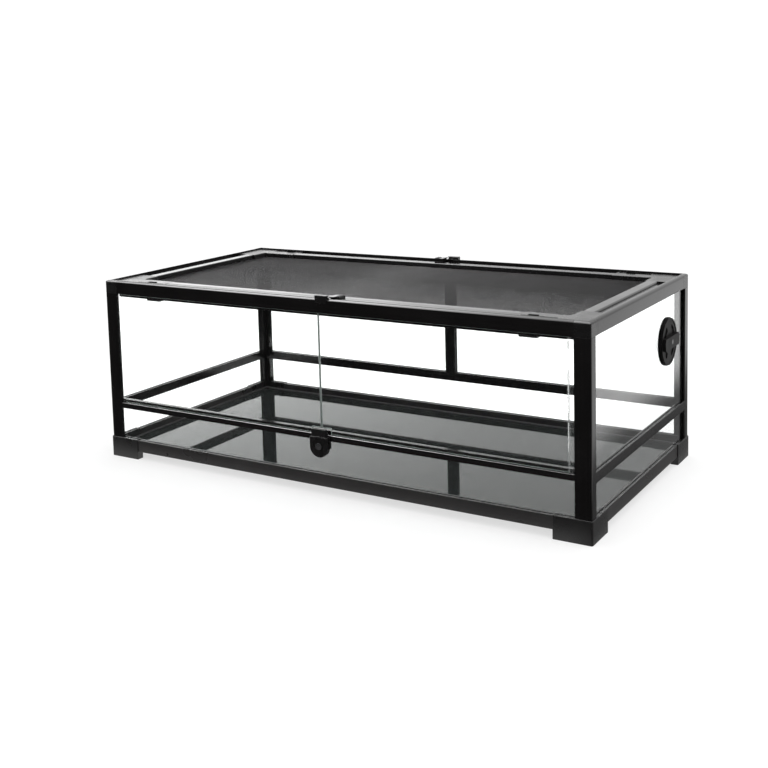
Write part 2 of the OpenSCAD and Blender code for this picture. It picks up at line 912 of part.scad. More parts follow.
module vent_outer_flange() {
    sleeve = glass_t + vent_clamp_t;
    color("#2a2a2c") vent_place() difference() {
        union() {
            cylinder(r = vent_r, h = vent_plate_t);
            translate([0, 0, -sleeve]) cylinder(r = vent_hole_r - pane_gap, h = sleeve + touch);
        }
        translate([0, 0, -sleeve - 1]) cylinder(r = vent_hole_r - sleeve_wall, h = sleeve + 1);
        translate([0, 0, -1]) cylinder(r = vent_pivot_r + run_gap, h = vent_plate_t + 2);
        translate([0, 0, -1]) linear_extrude(vent_plate_t + 2)
            vent_slot_pattern(slot_start + 180 / vent_slots);
    }
}

// The ring inside the pane that clamps the vent to it.
module vent_inner_flange() {
    color("#2a2a2c") vent_place() translate([0, 0, -glass_t - vent_clamp_t]) difference() {
        cylinder(r = vent_r, h = vent_clamp_t);
        translate([0, 0, -1]) cylinder(r = vent_hole_r - pane_gap + run_gap, h = vent_clamp_t + 2);
    }
}

// The turning shutter: a disc with the same slots, a raised rim and a bar to grip.
module vent_shutter() {
    face = vent_plate_t + slide_gap;
    shutter_r = vent_r - 1;
    dish_r = shutter_r - shutter_rim_w;
    color("#1f1f21") vent_place() translate([0, 0, face]) difference() {
        union() {
            cylinder(r = shutter_r, h = shutter_t);
            difference() {
                cylinder(r = shutter_r, h = shutter_t + shutter_rim_h);
                translate([0, 0, shutter_t - touch]) cylinder(r = dish_r, h = shutter_rim_h + 1);
            }
            intersection() {
                cylinder(r = dish_r + touch, h = shutter_t + grip_h);
                translate([0, 0, shutter_t + grip_h / 2 - touch])
                    cube([grip_w, 2 * vent_r, grip_h], center = true);
            }
        }
        translate([0, 0, -1]) linear_extrude(shutter_t + 1 + touch) vent_slot_pattern(slot_start);
        translate([0, 0, -1]) cylinder(r = vent_pivot_r + run_gap, h = shutter_t + grip_h + 2);
    }
}

// The rivet that the shutter turns on.
module vent_pivot() {
    h = vent_plate_t + slide_gap + shutter_t + grip_h;
    color("#101011") vent_place() {
        translate([0, 0, -pivot_head_t - pane_gap]) cylinder(r = vent_pivot_r + 2.5, h = pivot_head_t);
        translate([0, 0, -1]) cylinder(r = vent_pivot_r, h = h + 1 - touch);
    }
}

// ---- All the nodes -------------------------------------------------------

foot();  // foot_front_left
to_right() foot();  // foot_front_right
to_back() foot();  // foot_back_left
to_back() to_right() foot();  // foot_back_right
bottom_rail_front();
to_back() bottom_rail_front();  // bottom_rail_back
bottom_rail_left();
to_right() bottom_rail_left();  // bottom_rail_right
floor_glass();
floor_seal();
post();  // post_front_left
to_right() post();  // post_front_right
to_back() post();  // post_back_left
to_back() to_right() post();  // post_back_right
centre_post();  // post_back_centre
mid_rail_front();
mid_rail_back();
mid_rail_left();
to_right() mid_rail_left();  // mid_rail_right
lower_glass_front();
lower_glass_back();
lower_glass_left();
to_right() lower_glass_left();  // lower_glass_right
upper_glass_left();
upper_glass_right();
upper_glass_back_left();
to_right() upper_glass_back_left();  // upper_glass_back_right
top_rail_front();
top_rail_back();
top_rail_left();
to_right() top_rail_left();  // top_rail_right
top_corner_joiners();
keeper();  // keeper_front
turned_to_back() keeper();  // keeper_back
lock_base();
lock_cover();
lock_screw();
lock_bolt();
vent_outer_flange();
vent_inner_flange();
vent_shutter();
vent_pivot();
door_glass();  // left_door_glass
door_hinge_strip();  // left_door_hinge_strip
to_right() door_glass();  // right_door_glass
to_right() door_hinge_strip();  // right_door_hinge_strip
lid_rail_front();
lid_rail_back();
lid_rail_left();
to_right() lid_rail_left();  // lid_rail_right
lid_corners_front();
to_back() lid_corners_front();  // lid_corners_back
lid_mesh();
lid_spline();
lid_slider();  // lid_slider_front
turned_to_back() lid_slider();  // lid_slider_back
inlet_gate();  // inlet_gate_front_left
to_right() inlet_gate();  // inlet_gate_front_right
to_back() inlet_gate();  // inlet_gate_back_left
to_back() to_right() inlet_gate();  // inlet_gate_back_right
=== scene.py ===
import math
import bpy
from mathutils import Matrix, Vector


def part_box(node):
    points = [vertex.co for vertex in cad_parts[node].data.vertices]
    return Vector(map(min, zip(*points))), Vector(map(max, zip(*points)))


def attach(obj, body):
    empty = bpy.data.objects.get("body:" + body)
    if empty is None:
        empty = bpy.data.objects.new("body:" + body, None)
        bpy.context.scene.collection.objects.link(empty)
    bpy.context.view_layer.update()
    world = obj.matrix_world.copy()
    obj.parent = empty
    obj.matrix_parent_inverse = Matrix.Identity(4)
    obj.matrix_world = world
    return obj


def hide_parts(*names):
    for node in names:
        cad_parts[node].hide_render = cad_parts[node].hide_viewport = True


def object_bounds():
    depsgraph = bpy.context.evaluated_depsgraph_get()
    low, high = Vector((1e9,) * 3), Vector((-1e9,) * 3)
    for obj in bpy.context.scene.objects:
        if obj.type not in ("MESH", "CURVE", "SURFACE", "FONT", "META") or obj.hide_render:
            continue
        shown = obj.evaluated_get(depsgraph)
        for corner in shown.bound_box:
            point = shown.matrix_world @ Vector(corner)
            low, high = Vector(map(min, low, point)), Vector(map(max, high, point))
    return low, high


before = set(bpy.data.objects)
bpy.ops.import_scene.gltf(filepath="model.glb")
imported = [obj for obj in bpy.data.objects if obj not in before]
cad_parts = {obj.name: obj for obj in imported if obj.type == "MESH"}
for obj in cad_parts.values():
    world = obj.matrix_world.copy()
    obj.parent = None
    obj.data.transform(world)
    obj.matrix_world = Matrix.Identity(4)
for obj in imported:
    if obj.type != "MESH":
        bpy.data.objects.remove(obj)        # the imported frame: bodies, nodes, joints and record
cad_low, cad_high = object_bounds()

scene = bpy.context.scene

# ---- Camera ----------------------------------------------------------------------------
# The photograph is taken from in front of the right-hand corner, a little above the
# rim. The lens axis meets the picture above its middle, which keeps the posts upright.
IMAGE_SIDE = 768
AXIS_ROW = 220
FOCAL_PIXELS = 1160.8
SENSOR_WIDTH = 36
CAMERA_AT = Vector((1.0295, -1.7105, 0.6455))
CAMERA_YAW = math.radians(-31.30)
CAMERA_PITCH = math.radians(-6.46)
CAMERA_ROLL = math.radians(-1.45)

forward = Vector((math.sin(CAMERA_YAW) * math.cos(CAMERA_PITCH),
                  math.cos(CAMERA_YAW) * math.cos(CAMERA_PITCH),
                  math.sin(CAMERA_PITCH)))
level = Vector((math.cos(CAMERA_YAW), -math.sin(CAMERA_YAW), 0))
right = math.cos(CAMERA_ROLL) * level + math.sin(CAMERA_ROLL) * level.cross(forward)
up = right.cross(forward)
lens = bpy.data.cameras.new("camera")
lens.sensor_width = SENSOR_WIDTH
lens.lens = lens.sensor_width * FOCAL_PIXELS / IMAGE_SIDE
lens.shift_y = (AXIS_ROW - IMAGE_SIDE / 2) / IMAGE_SIDE
camera = bpy.data.objects.new("camera", lens)
scene.collection.objects.link(camera)
turn = Matrix((right, up, -forward)).transposed()
camera.matrix_world = Matrix.Translation(CAMERA_AT) @ turn.to_4x4()
scene.camera = camera

# ---- Studio ----------------------------------------------------------------------------
# A white room with a pale floor. Glossy surfaces see white behind the tank, more of it low
# on the left, a bright panel overhead, a dim right side, and darkness in front.
SOFT_LIGHT = 0.9
SEEN_WHITE = 1.6
GLOSS_WHITE = 1.05
GLOSS_LEFT = 1.5
GLOSS_RIGHT = 0.8
GLOSS_OVERHEAD = 2.5
GLOSS_PANEL = 13
DARK_SIDE = 0.03
# Where the room changes, as spans of a ray's direction along one axis.
FRONT_TO_BACK_Y = (-0.6, -0.1)
MIDDLE_TO_RIGHT_X = (0.1, 0.45)
MIDDLE_TO_LEFT_X = (-0.35, -0.7)
HIGH_TO_LOW_Z = (0.45, 0.15)
LEVEL_TO_BEHIND_Y = (0, 0.3)
WALL_TO_CEILING_Z = (0.6, 0.8)
PANEL_EDGE_X = (-0.36, -0.56)
# The floor in mirrors: its share of the room's strength beside the tank and farther right, and
# where it changes, in metres outside the tank's front and right end.
FLOOR_DARK = 0.17
FLOOR_BRIGHT = 1.05
FRONT_SPAN = (-0.08, 0.02)
DARK_SPAN = (-0.05, 0.02)
BRIGHT_SPAN = (0.11, 0.22)
FLOOR_SIDE = 12
FLOOR_PALE = (0.42, 0.42, 0.42, 1)
FLOOR_BOUNCE = (0.7, 0.7, 0.7, 1)
FLOOR_GLOW = 0.64
PANE_LIFT = 0.6
HALF_A_BOUNCE = 0.5
SOFTBOX_AIM = Vector((0, 0, 0.2))


def feed(links, value, socket):
    """Links an output to a socket, or sets the socket to a plain number or colour."""
    if isinstance(value, bpy.types.NodeSocket):
        links.new(value, socket)
    else:
        socket.default_value = value


def math_node(nodes, links, operation, a, b):
    """A Math node on two sockets or numbers; returns its output."""
    node = nodes.new("ShaderNodeMath")
    node.operation = operation
    feed(links, a, node.inputs[0])
    feed(links, b, node.inputs[1])
    return node.outputs[0]


def map_range(nodes, links, value, given, wanted):
    """A smooth Map Range from the span given to the span wanted; returns its output."""
    node = nodes.new("ShaderNodeMapRange")
    node.interpolation_type = "SMOOTHSTEP"
    links.new(value, node.inputs["Value"])
    for name, number in zip(("From Min", "From Max", "To Min", "To Max"), (*given, *wanted)):
        node.inputs[name].default_value = number
    return node.outputs["Result"]


def axes_of(nodes, links, coordinates):
    """Splits a Texture Coordinate output into its X, Y and Z."""
    split = nodes.new("ShaderNodeSeparateXYZ")
    links.new(nodes.new("ShaderNodeTexCoord").outputs[coordinates], split.inputs[0])
    return split.outputs


def new_material(name):
    """An empty node material; returns it with its nodes and links."""
    material = bpy.data.materials.new(name)
    material.use_nodes = True
    material.node_tree.nodes.clear()
    return material, material.node_tree.nodes, material.node_tree.links


def end_with(nodes, links, shader, output="ShaderNodeOutputMaterial"):
    """Puts a shader on the output node of a material, or of a world."""
    out = nodes.new(output)
    links.new(shader.outputs[0], out.inputs["Surface"])


def shader_mix(nodes, links, mask, where_off, where_on):
    """One shader where a mask is 0 and another where it is 1."""
    mix = nodes.new("ShaderNodeMixShader")
    links.new(mask, mix.inputs[0])
    links.new(where_off.outputs[0], mix.inputs[1])
    links.new(where_on.outputs[0], mix.inputs[2])
    return mix


def number_mix(nodes, links, mask, where_off, where_on):
    """One number or socket where a mask is 0 and another where it is 1."""
    mix = nodes.new("ShaderNodeMix")
    links.new(mask, mix.inputs["Factor"])
    feed(links, where_off, mix.inputs["A"])
    feed(links, where_on, mix.inputs["B"])
    return mix.outputs["Result"]


def ray_kinds(nodes, links):
    """Masks of the rays that look at the room, that reach it by a mirror, and that cross glass."""
    path = nodes.new("ShaderNodeLightPath")
    depth = path.outputs["Glossy Depth"]
    crossed = path.outputs["Is Transmission Ray"]
    bounced = math_node(nodes, links, "GREATER_THAN", depth, HALF_A_BOUNCE)
    straight = math_node(nodes, links, "LESS_THAN", depth, HALF_A_BOUNCE)
    looked = math_node(nodes, links, "MAXIMUM", path.outputs["Is Camera Ray"],
                       math_node(nodes, links, "MULTIPLY", crossed, straight))
    mirrored = math_node(nodes, links, "MAXIMUM", path.outputs["Is Glossy Ray"],
                         math_node(nodes, links, "MULTIPLY", crossed, bounced))
    return looked, mirrored, crossed


def light_room():
    """The world: plain white to look at, soft grey light, and an uneven room for mirrored rays."""
    world = bpy.data.worlds.new("white_room")
    scene.world = world
    world.use_nodes = True
    nodes, links = world.node_tree.nodes, world.node_tree.links
    nodes.clear()
    x, y, z = axes_of(nodes, links, "Generated")
    room = map_range(nodes, links, y, FRONT_TO_BACK_Y, (DARK_SIDE, GLOSS_WHITE))
    dim = map_range(nodes, links, x, MIDDLE_TO_RIGHT_X, (1, GLOSS_RIGHT))
    room = math_node(nodes, links, "MULTIPLY", room, dim)
    left = map_range(nodes, links, x, MIDDLE_TO_LEFT_X, (0, GLOSS_LEFT))
    low = map_range(nodes, links, z, HIGH_TO_LOW_Z, (0, 1))
    behind = map_range(nodes, links, y, LEVEL_TO_BEHIND_Y, (0, 1))
    extra = math_node(nodes, links, "MULTIPLY", left, low)
    extra = math_node(nodes, links, "MULTIPLY", extra, behind)
    room = math_node(nodes, links, "ADD", room, extra)
    above = map_range(nodes, links, z, WALL_TO_CEILING_Z, (0, 1))
    panel = map_range(nodes, links, x, PANEL_EDGE_X, (GLOSS_OVERHEAD, GLOSS_PANEL))
    room = math_node(nodes, links, "ADD", room, math_node(nodes, links, "MULTIPLY", above, panel))
    looked, mirrored = ray_kinds(nodes, links)[:2]
    light = number_mix(nodes, links, mirrored, SOFT_LIGHT, room)
    back = nodes.new("ShaderNodeBackground")
    back.inputs["Color"].default_value = (1, 1, 1, 1)
    links.new(number_mix(nodes, links, looked, light, SEEN_WHITE), back.inputs["Strength"])
    end_with(nodes, links, back, "ShaderNodeOutputWorld")


def pale_floor():
    """The floor: pale with the tank's shadow where it is seen, and as uneven as the room in gloss."""
    bpy.ops.mesh.primitive_plane_add(size=FLOOR_SIDE, location=(0, 0, cad_low.z))
    floor = bpy.context.object
    floor.name = "studio_floor"
    material, nodes, links = new_material("studio_floor")
    x, y = axes_of(nodes, links, "Object")[:2]
    front_span = [cad_low.y + way for way in FRONT_SPAN]
    dark_span = [cad_high.x + way for way in DARK_SPAN]
    bright_span = [cad_high.x + way for way in BRIGHT_SPAN]
    front = map_range(nodes, links, y, front_span, (DARK_SIDE, GLOSS_WHITE))
    dark = map_range(nodes, links, x, dark_span, (1, FLOOR_DARK))
    bright = map_range(nodes, links, x, bright_span, (0, FLOOR_BRIGHT - FLOOR_DARK))
    strength = math_node(nodes, links, "MULTIPLY", front, math_node(nodes, links, "ADD", dark, bright))
    looked, mirrored, crossed = ray_kinds(nodes, links)
    glow = nodes.new("ShaderNodeEmission")
    lift = math_node(nodes, links, "MULTIPLY", crossed, PANE_LIFT)
    links.new(math_node(nodes, links, "ADD", lift, FLOOR_GLOW), glow.inputs["Strength"])
    matt = nodes.new("ShaderNodeBsdfDiffuse")
    matt.inputs["Color"].default_value = FLOOR_PALE
    seen = nodes.new("ShaderNodeAddShader")
    links.new(glow.outputs[0], seen.inputs[0])
    links.new(matt.outputs[0], seen.inputs[1])
    mirror = nodes.new("ShaderNodeEmission")
    links.new(strength, mirror.inputs["Strength"])
    bounce = nodes.new("ShaderNodeBsdfDiffuse")
    bounce.inputs["Color"].default_value = FLOOR_BOUNCE
    unseen = shader_mix(nodes, links, mirrored, bounce, mirror)
    end_with(nodes, links, shader_mix(nodes, links, looked, unseen, seen))
    floor.data.materials.append(material)


def softbox(name, place, size, power):
    """A square area lamp at a place, turned towards the tank."""
    lamp = bpy.data.lights.new(name, "AREA")
    lamp.size = size
    lamp.energy = power
    box = bpy.data.objects.new(name, lamp)
    scene.collection.objects.link(box)
    box.location = place
    box.rotation_euler = (SOFTBOX_AIM - Vector(place)).to_track_quat("-Z", "Y").to_euler()


light_room()
pale_floor()
softbox("top_softbox", place=(0.3, 0.2, 2.4), size=1.6, power=14)
softbox("side_softbox", place=(2.4, 0.6, 1.2), size=1.2, power=4)
scene.view_settings.view_transform = "Standard"

# ---- Bottom rails ----------------------------------------------------------------------
# Four extruded aluminium profiles with a satin black coat are pushed into the feet, and carry
# the floor pane on a flange. The coat has faint lines along the profile and a fine orange
# peel, and is duller here than on the posts; its paler colour here is painted reflected light.
PROFILE_BLACK = (0.0048, 0.0044, 0.0044, 1)
PROFILE_GREY = (0.008, 0.0074, 0.0075, 1)
PROFILE_ROUGH = 0.15
PROFILE_EDGE = 0.0006
# The bottom rails' paler blacks are painted reflected light on the same satin coat as the posts.
LOW_PAINTED_SHEEN_BLACK = (0.019, 0.0175, 0.0175, 1)
LOW_PAINTED_SHEEN_GREY = (0.025, 0.0235, 0.0235, 1)
LOW_ROUGH = 0.3
# The coat's patterns: a scale is in cells to a metre, and a span is a part of a noise's range.
LINE_SCALE = 420
LINE_STRETCH = 0.01
COAT_CLOUD_SCALE = 14
PEEL_SCALE = 1500
PEEL_SHARE = 0.4
PALE_LINES = (0.1, 0.45)
COAT_SPREAD = (-0.03, 0.04)
BUMP_DEPTH = 0.00005
MID_NOISE = (0.3, 0.7)
MERGE_GAP = 1e-6
FLAT_ANGLE = math.radians(0.5)
SHARP_ANGLE = math.radians(40)
ALONG = {"x": (LINE_STRETCH, 1, 1), "y": (1, LINE_STRETCH, 1), "z": (1, 1, LINE_STRETCH)}


def noise_node(nodes, links, vector, scale, detail, rough=0.5):
    """A Noise Texture on a vector, with a number or a socket for its scale; returns its grey."""
    node = nodes.new("ShaderNodeTexNoise")
    feed(links, scale, node.inputs["Scale"])
    node.inputs["Detail"].default_value = detail
    node.inputs["Roughness"].default_value = rough
    links.new(vector, node.inputs["Vector"])
    return node.outputs["Fac"]


def colour_mix(nodes, links, mask, deep, pale):
    """A colour between two others, each a socket or a plain colour; returns its output."""
    mix = nodes.new("ShaderNodeMix")
    mix.data_type = "RGBA"
    links.new(mask, mix.inputs["Factor"])
    feed(links, deep, mix.inputs["A"])
    feed(links, pale, mix.inputs["B"])
    return mix.outputs["Result"]


def coat_group(name, own_input, deep, pale, rough):
    """A coat's node group with its inputs and outputs; returns it with what goes in and out."""
    tree = bpy.data.node_groups.new(name, "ShaderNodeTree")
    tree.interface.new_socket(name="Vector", socket_type="NodeSocketVector", in_out="INPUT")
    inputs = (own_input, ("Deep", "NodeSocketColor", deep), ("Pale", "NodeSocketColor", pale),
              ("Rough", "NodeSocketFloat", rough))
    for label, kind, value in inputs:
        socket = tree.interface.new_socket(name=label, socket_type=kind, in_out="INPUT")
        socket.default_value = value
    for label, kind in (("Color", "Color"), ("Roughness", "Float"), ("Height", "Float")):
        tree.interface.new_socket(name=label, socket_type="NodeSocket" + kind, in_out="OUTPUT")
    given = tree.nodes.new("NodeGroupInput")
    made = tree.nodes.new("NodeGroupOutput")
    return tree, given.outputs, made.inputs


def coat_look(tree, given, made, pale_mask, clouds, rough_spread):
    """A coat's colour, from a mask of its pale places, and its roughness, from its clouds."""
    nodes, links = tree.nodes, tree.links
    links.new(colour_mix(nodes, links, pale_mask, given["Deep"], given["Pale"]), made["Color"])
    spread = map_range(nodes, links, clouds, MID_NOISE, rough_spread)
    links.new(math_node(nodes, links, "ADD", given["Rough"], spread), made["Roughness"])


def extruded_group():
    """Satin coat on an extruded profile: lines along it, faint clouds and orange peel."""
    own_input = ("Stretch", "NodeSocketVector", (1, 1, 1))
    tree, given, made = coat_group("extruded_coat", own_input, PROFILE_BLACK, PROFILE_GREY, PROFILE_ROUGH)
    nodes, links = tree.nodes, tree.links
    stretched = nodes.new("ShaderNodeVectorMath")
    stretched.operation = "MULTIPLY"
    links.new(given["Vector"], stretched.inputs[0])
    links.new(given["Stretch"], stretched.inputs[1])
    lines = noise_node(nodes, links, stretched.outputs[0], LINE_SCALE, detail=3, rough=0.6)
    clouds = noise_node(nodes, links, given["Vector"], COAT_CLOUD_SCALE, detail=4, rough=0.55)
    peel = noise_node(nodes, links, given["Vector"], PEEL_SCALE, detail=2)
    both = math_node(nodes, links, "MULTIPLY", lines, clouds)
    pale_mask = map_range(nodes, links, both, PALE_LINES, (0, 1))
    coat_look(tree, given, made, pale_mask, clouds, COAT_SPREAD)
    fine = math_node(nodes, links, "MULTIPLY", peel, PEEL_SHARE)
    links.new(math_node(nodes, links, "ADD", lines, fine), made["Height"])
    return tree


def coat_material(name, group, values, bump, specular=0.5):
    """A Principled surface fed by a coat group's colour, roughness and height."""
    material, nodes, links = new_material(name)
    where = nodes.new("ShaderNodeTexCoord")
    coat = nodes.new("ShaderNodeGroup")
    coat.node_tree = group
    links.new(where.outputs["Object"], coat.inputs["Vector"])
    for key, value in values.items():
        coat.inputs[key].default_value = value
    height = nodes.new("ShaderNodeBump")
    height.inputs["Strength"].default_value = bump
    height.inputs["Distance"].default_value = BUMP_DEPTH
    links.new(coat.outputs["Height"], height.inputs["Height"])
    skin = nodes.new("ShaderNodeBsdfPrincipled")
    skin.inputs["Specular IOR Level"].default_value = specular
    links.new(coat.outputs["Color"], skin.inputs["Base Color"])
    links.new(coat.outputs["Roughness"], skin.inputs["Roughness"])
    links.new(height.outputs["Normal"], skin.inputs["Normal"])
    end_with(nodes, links, skin)
    return material


def profile_coats(name, axes, values, bump, specular=0.5):
    """A coat for the profiles along each of the axes; returns the materials by axis."""
    coats = {}
    for axis in axes:
        coats[axis] = coat_material(f"{name}_{axis}", extruded_coat, {**values, "Stretch": ALONG[axis]},
                                    bump, specular)
    return coats


def alone(obj):
    """Deselects everything but obj, and makes it active."""
    bpy.ops.object.select_all(action="DESELECT")
    obj.select_set(True)
    bpy.context.view_layer.objects.active = obj


def worked_copy(node, name):
    """The node's own shape as a clean mesh of flat faces, ready to be finished."""
    piece = bpy.data.objects.new(name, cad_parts[node].data.copy())
    scene.collection.objects.link(piece)
    piece.data.materials.clear()
    alone(piece)
    bpy.ops.mesh.customdata_custom_splitnormals_clear()
    bpy.ops.object.mode_set(mode="EDIT")
    bpy.ops.mesh.select_all(action="SELECT")
    bpy.ops.mesh.remove_doubles(threshold=MERGE_GAP)
    bpy.ops.mesh.dissolve_limited(angle_limit=FLAT_ANGLE)
    bpy.ops.object.mode_set(mode="OBJECT")
    return piece


def bevel_edges(piece, name, width, segments, angle, harden):
    """Bevels every edge that is sharper than angle; hardened normals keep the faces beside it flat."""
    bevel = piece.modifiers.new(name, "BEVEL")
    bevel.width = width
    bevel.segments = segments
    bevel.limit_method = "ANGLE"
    bevel.angle_limit = angle
    bevel.harden_normals = harden
    bpy.ops.object.modifier_apply(modifier=bevel.name)


def stand_for(piece, node, body, material):
    """Gives a finished piece its material, and puts it in the node's place on its body."""
    piece.data.materials.append(material)
    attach(piece, body)
    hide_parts(node)


def finished(node, body, material, edge, segments=2):
    """A node's shape with its sharp edges rounded to the radius edge, in its own material."""
    piece = worked_copy(node, node + "_finished")
    bpy.ops.object.shade_smooth_by_angle(angle=SHARP_ANGLE)
    bevel_edges(piece, "soft_edges", edge, segments, SHARP_ANGLE, harden=True)
    stand_for(piece, node, body, material)


extruded_coat = extruded_group()
low_sheen_values = {"Deep": LOW_PAINTED_SHEEN_BLACK, "Pale": LOW_PAINTED_SHEEN_GREY, "Rough": LOW_ROUGH}
low_sheen_coats = profile_coats("low_rail_painted_sheen", "xy", low_sheen_values, bump=0.02)
for side_name, axis_name in (("front", "x"), ("back", "x"), ("left", "y"), ("right", "y")):
    finished("bottom_rail_" + side_name, "frame", low_sheen_coats[axis_name], PROFILE_EDGE)

# ---- Posts, middle rails and rim -------------------------------------------------------
# The same black extrusions make the posts, the middle rails and the rim. The front middle rail
# is the doors' sill: its coat is smoother, and catches more light.
PROFILE_GLOSS = 0.35
SILL_ROUGH = 0.12
SILL_GLOSS = 1.0

profile = profile_coats("profile_black", "xyz", {}, bump=0.02, specular=PROFILE_GLOSS)
sill = profile_coats("sill", "x", {"Rough": SILL_ROUGH}, bump=0.01, specular=SILL_GLOSS)
finished("mid_rail_front", "frame", sill["x"], PROFILE_EDGE)
for rail_name in ("mid_rail_back", "top_rail_front", "top_rail_back"):
    finished(rail_name, "frame", profile["x"], PROFILE_EDGE)
for rail_name in ("mid_rail_left", "mid_rail_right", "top_rail_left", "top_rail_right"):
    finished(rail_name, "frame", profile["y"], PROFILE_EDGE)
for post_name in ("front_left", "front_right", "back_left", "back_right", "back_centre"):
    finished("post_" + post_name, "frame", profile["z"], PROFILE_EDGE)

# ---- Feet, joiners and keepers ---------------------------------------------------------
# The corner feet and the rim's joiners are injection moulded in black plastic with a fine
# spark-eroded grain, and are pushed on to the profiles' ends. The keepers sit over the rim.
MOULD_BLACK = (0.007, 0.0066, 0.0066, 1)
MOULD_GREY = (0.011, 0.0105, 0.0107, 1)
MOULD_ROUGH = 0.28
GRAIN_SCALE = 2600
MOULD_CLOUD_SCALE = 30
PALE_CLOUDS = (0.3, 0.75)
MOULD_SPREAD = (-0.04, 0.06)
FOOT_EDGE = 0.0008
JOINER_EDGE = 0.0005
KEEPER_EDGE = 0.0004
CORNERS = ("front_left", "front_right", "back_left", "back_right")


def moulded_group():
    """Grained plastic: colour, roughness and height from a fine grain and faint clouds."""
    own_input = ("Grain", "NodeSocketFloat", GRAIN_SCALE)
    tree, given, made = coat_group("moulded_grain", own_input, MOULD_BLACK, MOULD_GREY, MOULD_ROUGH)
    nodes, links = tree.nodes, tree.links
    grain = noise_node(nodes, links, given["Vector"], given["Grain"], detail=2)
    clouds = noise_node(nodes, links, given["Vector"], MOULD_CLOUD_SCALE, detail=4, rough=0.6)
    pale_mask = map_range(nodes, links, clouds, PALE_CLOUDS, (0, 1))
    coat_look(tree, given, made, pale_mask, clouds, MOULD_SPREAD)
    links.new(grain, made["Height"])
    return tree


moulded_grain = moulded_group()
moulded = coat_material("moulded_black", moulded_grain, {}, bump=0.2)
for corner_name in CORNERS:
    finished("foot_" + corner_name, "frame", moulded, FOOT_EDGE, segments=3)
finished("top_corner_joiners", "frame", moulded, JOINER_EDGE)
finished("keeper_front", "frame", moulded, KEEPER_EDGE)
finished("keeper_back", "frame", moulded, KEEPER_EDGE)

# ---- Wall panes and door panes ---------------------------------------------------------
# The wall panes are clear float glass, with their edges in the rails' grooves painted black as shade. The
# doors' free edges are ground and show green, and a clear strip grips each hinge edge.
GLASS_CLEAR = (0.985, 0.995, 0.99, 1)
GLASS_SHADOW = (0.93, 0.96, 0.95, 1)
GLASS_IOR = 1.5
EDGE_GREEN = (0.26, 0.31, 0.29, 1)
EDGE_PALE = (0.34, 0.39, 0.37, 1)
EDGE_ROUGH = 0.25
EDGE_CLEAR = 0.35
EDGE_SCALE = 900
STRIP_PALE = (0.7, 0.73, 0.72, 1)
STRIP_ROUGH = (0.05, 0.12)
STRIP_FILM = (0.02, 0.04)
STRIP_SCALE = 60
SILICONE_SCALE = 1200
PAINTED_SHADE_ROUGH = 0.6
ARRIS = 0.0004
ARRIS_ANGLE = math.radians(60)
# How far a face's normal lies along the pane's thin axis, X or Y, where the face is a broad
# one, and how far along X where the strip holds it.
BROAD_SHARE = 0.9
HELD_SHARE = 0.3
THIN_X = 0
THIN_Y = 1


def clear_glass():
    """Clear glass that lets the lamps through to what is behind it."""
    material, nodes, links = new_material("clear_glass")
    glass = nodes.new("ShaderNodeBsdfPrincipled")
    glass.inputs["Base Color"].default_value = GLASS_CLEAR
    glass.inputs["Roughness"].default_value = 0
    glass.inputs["IOR"].default_value = GLASS_IOR
    glass.inputs["Transmission Weight"].default_value = 1
    shadow = nodes.new("ShaderNodeBsdfTransparent")
    shadow.inputs["Color"].default_value = GLASS_SHADOW
    path = nodes.new("ShaderNodeLightPath")
    mix = shader_mix(nodes, links, path.outputs["Is Shadow Ray"], glass, shadow)
    end_with(nodes, links, mix)
    return material


def ground_edge():
    """The green, finely ground edge of a door's pane."""
    material, nodes, links = new_material("glass_edge")
    where = nodes.new("ShaderNodeTexCoord")
    clouds = noise_node(nodes, links, where.outputs["Object"], EDGE_SCALE, detail=3)
    edge = nodes.new("ShaderNodeBsdfPrincipled")
    links.new(colour_mix(nodes, links, clouds, EDGE_GREEN, EDGE_PALE), edge.inputs["Base Color"])
    edge.inputs["Roughness"].default_value = EDGE_ROUGH
    edge.inputs["Transmission Weight"].default_value = EDGE_CLEAR
    end_with(nodes, links, edge)
    return material


def clear_plastic():
    """The hinge strips' clear plastic: a faint, slightly uneven film over what is behind it."""
    material, nodes, links = new_material("clear_plastic")
    where = nodes.new("ShaderNodeTexCoord")
    clouds = noise_node(nodes, links, where.outputs["Object"], STRIP_SCALE, detail=3)
    strip = nodes.new("ShaderNodeBsdfPrincipled")
    strip.inputs["Base Color"].default_value = STRIP_PALE
    links.new(map_range(nodes, links, clouds, MID_NOISE, STRIP_ROUGH), strip.inputs["Roughness"])
    links.new(map_range(nodes, links, clouds, MID_NOISE, STRIP_FILM), strip.inputs["Alpha"])
    end_with(nodes, links, strip)
    return material


def pane(node, body, thin_axis, edge, gripped=0):
    """A clear pane with arrised edges; the edge that looks towards gripped on X is in a strip."""
    piece = worked_copy(node, node + "_pane")
    bevel_edges(piece, "arris", ARRIS, 1, ARRIS_ANGLE, harden=False)
    bpy.ops.object.shade_flat()
    stand_for(piece, node, body, clear)
    piece.data.materials.append(edge)
    if gripped:
        piece.data.materials.append(strip_clear)
    for face in piece.data.polygons:
        broad = abs(face.normal[thin_axis]) > BROAD_SHARE
        held = face.normal.x * gripped > HELD_SHARE
        face.material_index = 0 if broad else 2 if held else 1


clear = clear_glass()
edge_green = ground_edge()
strip_clear = clear_plastic()
# The wall panes' edge faces get a black grained material: painted shade inside the rails' grooves.
groove_shade = coat_material("edge_painted_shade", moulded_grain, {"Rough": PAINTED_SHADE_ROUGH, "Grain": SILICONE_SCALE},
                        bump=0.05, specular=0.2)
for level_name in ("lower_glass", "upper_glass"):
    for side_name in ("left", "right"):
        pane(f"{level_name}_{side_name}", "frame", THIN_X, groove_shade)
for node_name in ("lower_glass_front", "lower_glass_back", "upper_glass_back_left", "upper_glass_back_right"):
    pane(node_name, "frame", THIN_Y, groove_shade)
pane("left_door_glass", "left_door", THIN_Y, edge_green, gripped=-1)
pane("right_door_glass", "right_door", THIN_Y, edge_green, gripped=1)

